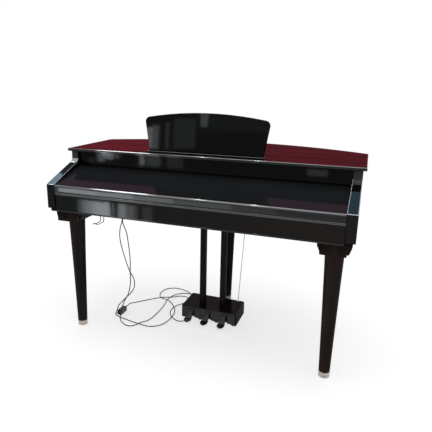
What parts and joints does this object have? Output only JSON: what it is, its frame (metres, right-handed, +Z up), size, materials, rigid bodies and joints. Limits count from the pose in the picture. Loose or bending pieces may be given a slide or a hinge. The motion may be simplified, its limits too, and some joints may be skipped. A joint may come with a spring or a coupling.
{
  "type": "digital grand piano",
  "caption": "Compact digital grand piano: bowed gloss-black case on turned legs, deep red lid, sliding key cover, folding music desk, pedal lyre, headphone hook and power adapter.",
  "frame": {"origin": "on the floor, under the centre of the case's bounding box", "axes": "+Z up, +X to the right of the seated player, +Y away from the player, so the keys face -Y"},
  "size_m": [1.4214, 0.804, 1.1076],
  "materials": {
    "black_lacquer": "polished black lacquer",
    "red_lacquer": "polished deep red lacquer",
    "key_white": "ivory-like",
    "key_black": "satin",
    "satin_plastic": "satin black",
    "chrome": "polished",
    "dark_steel": "brushed",
    "steel_rod": "bright",
    "cord_rubber": "matte",
    "circuit": "solder mask",
    "speaker_grey": "painted"
  },
  "bodies": {
    "case": {"lid": "red_lacquer", "front_board": "black_lacquer", "side_left": "black_lacquer", "side_right": "black_lacquer", "rear_panel": "black_lacquer", "bottom_board": "black_lacquer", "apron": "black_lacquer", "key_slip": "black_lacquer", "key_block_left": "black_lacquer", "key_block_right": "black_lacquer", "key_frame": "key_black", "white_keys_low": "key_white", "white_keys_high": "key_white", "control_panel": "satin_plastic", "main_board": "circuit", "speaker_left": "speaker_grey", "speaker_right": "speaker_grey", "leg_block_left": "black_lacquer", "leg_block_right": "black_lacquer", "leg_left": "black_lacquer", "leg_right": "black_lacquer", "leg_rear": "black_lacquer", "ferrule_left": "chrome", "ferrule_right": "chrome", "ferrule_rear": "chrome", "lyre_post_left": "black_lacquer", "lyre_post_right": "black_lacquer", "pedal_box": "black_lacquer", "pedal_base": "dark_steel", "brace_rod": "steel_rod", "desk_ledge": "black_lacquer", "headphone_hook": "dark_steel", "jack_box": "satin_plastic", "power_plug": "satin_plastic", "pedal_plug": "satin_plastic", "power_cord": "cord_rubber", "pedal_cord": "cord_rubber", "power_adapter": "satin_plastic", "pedal_cord_gland": "satin_plastic"},
    "cover": {"key_cover": "black_lacquer"},
    "desk": {"music_desk": "black_lacquer"},
    "stay": {"desk_stay": "dark_steel"},
    "pedal_left": {"pedal_left": "chrome"},
    "pedal_middle": {"pedal_middle": "chrome"},
    "pedal_right": {"pedal_right": "chrome"},
    "power_button": {"power_button": "satin_plastic"},
    "volume_knob": {"volume_knob": "satin_plastic"},
    "white_key_c": {"white_key_c": "key_white"},
    "white_key_d": {"white_key_d": "key_white"},
    "white_key_e": {"white_key_e": "key_white"},
    "white_key_f": {"white_key_f": "key_white"},
    "white_key_g": {"white_key_g": "key_white"},
    "white_key_a": {"white_key_a": "key_white"},
    "white_key_b": {"white_key_b": "key_white"},
    "black_key_c_sharp": {"black_key_c_sharp": "key_black"},
    "black_key_d_sharp": {"black_key_d_sharp": "key_black"},
    "black_key_f_sharp": {"black_key_f_sharp": "key_black"},
    "black_key_g_sharp": {"black_key_g_sharp": "key_black"},
    "black_key_a_sharp": {"black_key_a_sharp": "key_black"}
  },
  "joints": [
    {"name": "cover_slide", "type": "slide", "parent": "case", "child": "cover", "axis": [0, 0.9659, 0.2588], "range_m": [0, 0.2]},
    {"name": "desk_fold", "type": "hinge", "parent": "case", "child": "desk", "pos_m": [0, -0.147, 0.9291], "axis": [-1, 0, 0], "range_deg": [0, 87]},
    {"name": "stay_swing", "type": "hinge", "parent": "desk", "child": "stay", "pos_m": [0, -0.13424, 1.00053], "axis": [1, 0, 0], "range_deg": [0, 152]},
    {"name": "pedal_left_press", "type": "hinge", "parent": "case", "child": "pedal_left", "pos_m": [-0.09, 0.083, 0.046], "axis": [1, 0, 0], "range_deg": [0, 4], "stiffness_Nm_per_rad": 15, "springref_deg": -11.46},
    {"name": "pedal_middle_press", "type": "hinge", "parent": "case", "child": "pedal_middle", "pos_m": [0, 0.083, 0.046], "axis": [1, 0, 0], "range_deg": [0, 4], "stiffness_Nm_per_rad": 15, "springref_deg": -11.46},
    {"name": "pedal_right_press", "type": "hinge", "parent": "case", "child": "pedal_right", "pos_m": [0.09, 0.083, 0.046], "axis": [1, 0, 0], "range_deg": [0, 4], "stiffness_Nm_per_rad": 15, "springref_deg": -11.46},
    {"name": "white_key_c_press", "type": "hinge", "parent": "case", "child": "white_key_c", "pos_m": [0, -0.188, 0.7237], "axis": [1, 0, 0], "range_deg": [0, 2.9], "stiffness_Nm_per_rad": 0.4, "springref_deg": -25.78},
    {"name": "white_key_d_press", "type": "hinge", "parent": "case", "child": "white_key_d", "pos_m": [0, -0.188, 0.7237], "axis": [1, 0, 0], "range_deg": [0, 2.9], "stiffness_Nm_per_rad": 0.4, "springref_deg": -25.78},
    {"name": "white_key_e_press", "type": "hinge", "parent": "case", "child": "white_key_e", "pos_m": [0, -0.188, 0.7237], "axis": [1, 0, 0], "range_deg": [0, 2.9], "stiffness_Nm_per_rad": 0.4, "springref_deg": -25.78},
    {"name": "white_key_f_press", "type": "hinge", "parent": "case", "child": "white_key_f", "pos_m": [0, -0.188, 0.7237], "axis": [1, 0, 0], "range_deg": [0, 2.9], "stiffness_Nm_per_rad": 0.4, "springref_deg": -25.78},
    {"name": "white_key_g_press", "type": "hinge", "parent": "case", "child": "white_key_g", "pos_m": [0, -0.188, 0.7237], "axis": [1, 0, 0], "range_deg": [0, 2.9], "stiffness_Nm_per_rad": 0.4, "springref_deg": -25.78},
    {"name": "white_key_a_press", "type": "hinge", "parent": "case", "child": "white_key_a", "pos_m": [0, -0.188, 0.7237], "axis": [1, 0, 0], "range_deg": [0, 2.9], "stiffness_Nm_per_rad": 0.4, "springref_deg": -25.78},
    {"name": "white_key_b_press", "type": "hinge", "parent": "case", "child": "white_key_b", "pos_m": [0, -0.188, 0.7237], "axis": [1, 0, 0], "range_deg": [0, 2.9], "stiffness_Nm_per_rad": 0.4, "springref_deg": -25.78},
    {"name": "black_key_c_sharp_press", "type": "hinge", "parent": "case", "child": "black_key_c_sharp", "pos_m": [0, -0.188, 0.7237], "axis": [1, 0, 0], "range_deg": [0, 2.9], "stiffness_Nm_per_rad": 0.4, "springref_deg": -25.78},
    {"name": "black_key_d_sharp_press", "type": "hinge", "parent": "case", "child": "black_key_d_sharp", "pos_m": [0, -0.188, 0.7237], "axis": [1, 0, 0], "range_deg": [0, 2.9], "stiffness_Nm_per_rad": 0.4, "springref_deg": -25.78},
    {"name": "black_key_f_sharp_press", "type": "hinge", "parent": "case", "child": "black_key_f_sharp", "pos_m": [0, -0.188, 0.7237], "axis": [1, 0, 0], "range_deg": [0, 2.9], "stiffness_Nm_per_rad": 0.4, "springref_deg": -25.78},
    {"name": "black_key_g_sharp_press", "type": "hinge", "parent": "case", "child": "black_key_g_sharp", "pos_m": [0, -0.188, 0.7237], "axis": [1, 0, 0], "range_deg": [0, 2.9], "stiffness_Nm_per_rad": 0.4, "springref_deg": -25.78},
    {"name": "black_key_a_sharp_press", "type": "hinge", "parent": "case", "child": "black_key_a_sharp", "pos_m": [0, -0.188, 0.7237], "axis": [1, 0, 0], "range_deg": [0, 2.9], "stiffness_Nm_per_rad": 0.4, "springref_deg": -25.78},
    {"name": "power_button_press", "type": "slide", "parent": "case", "child": "power_button", "axis": [0, 0.4258, -0.9048], "range_m": [0, 0.002], "stiffness_N_per_m": 400, "springref_m": -0.004},
    {"name": "volume_knob_turn", "type": "hinge", "parent": "case", "child": "volume_knob", "pos_m": [-0.5877, -0.19025, 0.7679], "axis": [0, -0.4258, 0.9048], "range_deg": [-135, 135]}
  ],
  "couplings": [
    {"joint": "stay_swing", "follows": "desk_fold", "ratio": 1.746}
  ]
}
